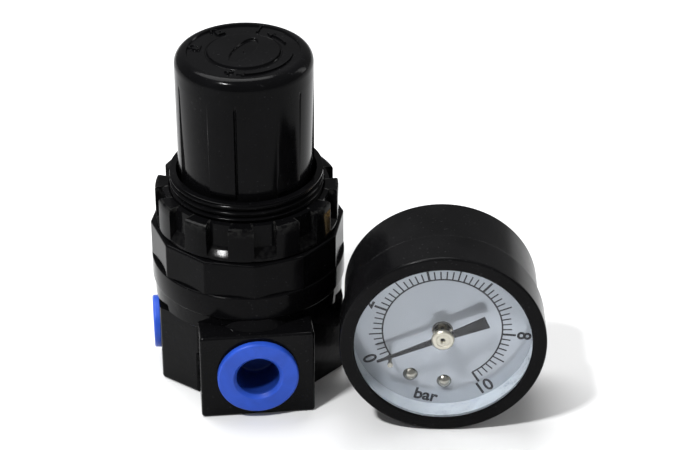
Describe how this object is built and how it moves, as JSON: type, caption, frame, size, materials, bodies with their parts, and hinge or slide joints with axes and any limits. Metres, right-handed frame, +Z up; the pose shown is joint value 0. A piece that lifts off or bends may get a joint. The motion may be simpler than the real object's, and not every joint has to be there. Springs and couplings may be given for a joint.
{
  "type": "air pressure regulator",
  "caption": "Compact air pressure regulator with a push-to-lock knob, panel nut and plugged ports, and a loose round dial gauge beside it.",
  "frame": {"origin": "the regulator's axis at its flat bottom face", "axes": "+Z up along the knob's axis; -Y the plugged main port, +Y the open one; -X and +X the gauge ports; the loose gauge stands at +X with its dial towards -Y"},
  "size_m": [0.0831, 0.06, 0.0761],
  "materials": {
    "cast_black": "gloss black paint on a die casting",
    "moulded_black": "semi-gloss moulded black",
    "knob_black": "satin moulded black",
    "plug_blue": "soft polyethylene blue",
    "spring_steel": "oiled spring wire",
    "steel": "zinc plated",
    "brass": "machined",
    "aluminium": "machined",
    "rubber": "moulded nitrile",
    "gauge_black": "gloss black enamel",
    "crystal": "clear",
    "dial_face": "satin pale blue-white enamel",
    "ring_white": "moulded white",
    "pointer_paint": "matt black"
  },
  "bodies": {
    "regulator": {"body": "cast_black", "bottom_cap": "moulded_black", "bottom_cap_oring": "rubber", "valve_guide_oring": "rubber", "bonnet": "moulded_black", "thrust_washer": "steel", "diaphragm": "rubber", "valve_spring": "spring_steel", "adjusting_spring": "spring_steel"},
    "valve": {"valve_poppet": "brass", "valve_seal": "rubber"},
    "diaphragm_hub": {"relief_seat": "brass", "diaphragm_washer": "aluminium", "diaphragm_plate": "aluminium"},
    "spring_seat": {"spring_seat_nut": "aluminium"},
    "screw": {"adjusting_screw": "steel", "screw_clip": "spring_steel"},
    "knob": {"knob": "knob_black"},
    "panel_nut": {"panel_nut": "moulded_black"},
    "port_plug": {"port_plug": "plug_blue"},
    "gauge_port_plug": {"gauge_port_plug": "plug_blue"},
    "gauge": {"gauge_case": "gauge_black", "gauge_bezel": "gauge_black", "gauge_crystal": "crystal", "crystal_gasket": "rubber", "gauge_dial": "dial_face", "dial_ring": "ring_white", "dial_rivets": "steel", "stop_pin": "steel", "dial_bushing": "brass", "movement_front_plate": "brass", "movement_back_plate": "brass", "movement_pillars": "brass", "hairspring": "spring_steel", "bourdon_tube": "brass", "tube_tip": "brass", "gauge_socket": "brass", "case_screws": "steel"},
    "pointer": {"pointer": "pointer_paint", "pointer_hub": "brass", "pinion_shaft": "brass"},
    "sector": {"sector_gear": "brass", "sector_shaft": "steel"},
    "link": {"link": "brass"}
  },
  "joints": [
    {"name": "pressure_adjust", "type": "hinge", "parent": "regulator", "child": "screw", "pos_m": [0, 0, 0.051], "axis": [0, 0, -1], "range_deg": [0, 2160]},
    {"name": "knob_lock", "type": "slide", "parent": "screw", "child": "knob", "axis": [0, 0, -1], "range_m": [0, 0.003]},
    {"name": "spring_seat_travel", "type": "slide", "parent": "regulator", "child": "spring_seat", "axis": [0, 0, -1], "range_m": [0, 0.00601], "deforming": ["adjusting_spring"]},
    {"name": "diaphragm_stroke", "type": "slide", "parent": "regulator", "child": "diaphragm_hub", "axis": [0, 0, -1], "range_m": [0, 0.001], "stiffness_N_per_m": 600, "springref_m": -0.002, "deforming": ["diaphragm"]},
    {"name": "valve_stroke", "type": "slide", "parent": "regulator", "child": "valve", "axis": [0, 0, -1], "range_m": [0, 0.00101], "deforming": ["valve_spring"]},
    {"name": "panel_nut_turn", "type": "hinge", "parent": "regulator", "child": "panel_nut", "pos_m": [0, 0, 0.04], "axis": [0, 0, 1], "continuous": true},
    {"name": "port_plug_pull", "type": "slide", "parent": "regulator", "child": "port_plug", "axis": [0, -1, 0], "range_m": [0, 0.02]},
    {"name": "gauge_port_plug_pull", "type": "slide", "parent": "regulator", "child": "gauge_port_plug", "axis": [-1, 0, 0], "range_m": [0, 0.015]},
    {"name": "gauge_slide", "type": "slide", "parent": "regulator", "child": "gauge", "axis": [1, 0, 0], "range_m": [0, 0.05]},
    {"name": "pointer_turn", "type": "hinge", "parent": "gauge", "child": "pointer", "pos_m": [0.03891, -0.02862, 0.02178], "axis": [0.1168, 0.9932, 0], "range_deg": [0, 262.6]},
    {"name": "sector_turn", "type": "hinge", "parent": "gauge", "child": "sector", "pos_m": [0.05004, -0.02389, 0.01924], "axis": [0.1168, 0.9932, 0], "range_deg": [-33, 0]},
    {"name": "link_travel", "type": "slide", "parent": "gauge", "child": "link", "axis": [0.2335, -0.0275, 0.972], "range_m": [0, 0.00228]}
  ],
  "couplings": [
    {"joint": "spring_seat_travel", "follows": "pressure_adjust", "m_per_rad": 0.00015915},
    {"joint": "valve_stroke", "follows": "diaphragm_stroke", "ratio": 1},
    {"joint": "sector_turn", "follows": "pointer_turn", "ratio": -0.125},
    {"joint": "link_travel", "follows": "pointer_turn", "m_per_rad": 0.00049282}
  ]
}
